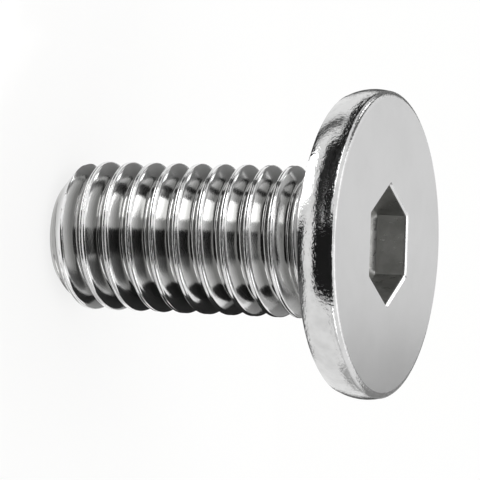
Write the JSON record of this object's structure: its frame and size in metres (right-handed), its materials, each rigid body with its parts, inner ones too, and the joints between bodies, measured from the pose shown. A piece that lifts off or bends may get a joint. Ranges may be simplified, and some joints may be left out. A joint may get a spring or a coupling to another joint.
{
  "type": "low head socket cap screw",
  "caption": "Low head socket cap screw with a thin wide round head, a hex socket and a right-hand metric thread, for clamping parts together.",
  "frame": {"origin": "centre of the flat tip end, where the screw stands", "axes": "+Z along the thread axis from the tip to the head's flat face; +X points at a corner of the hex socket"},
  "size_m": [0.012, 0.012, 0.0135],
  "materials": {
    "stainless_steel": "tumbled stainless steel, bright on the rim and the thread crests, satin on the flat faces"
  },
  "bodies": {
    "root": {"screw": "stainless_steel"}
  },
  "joints": []
}
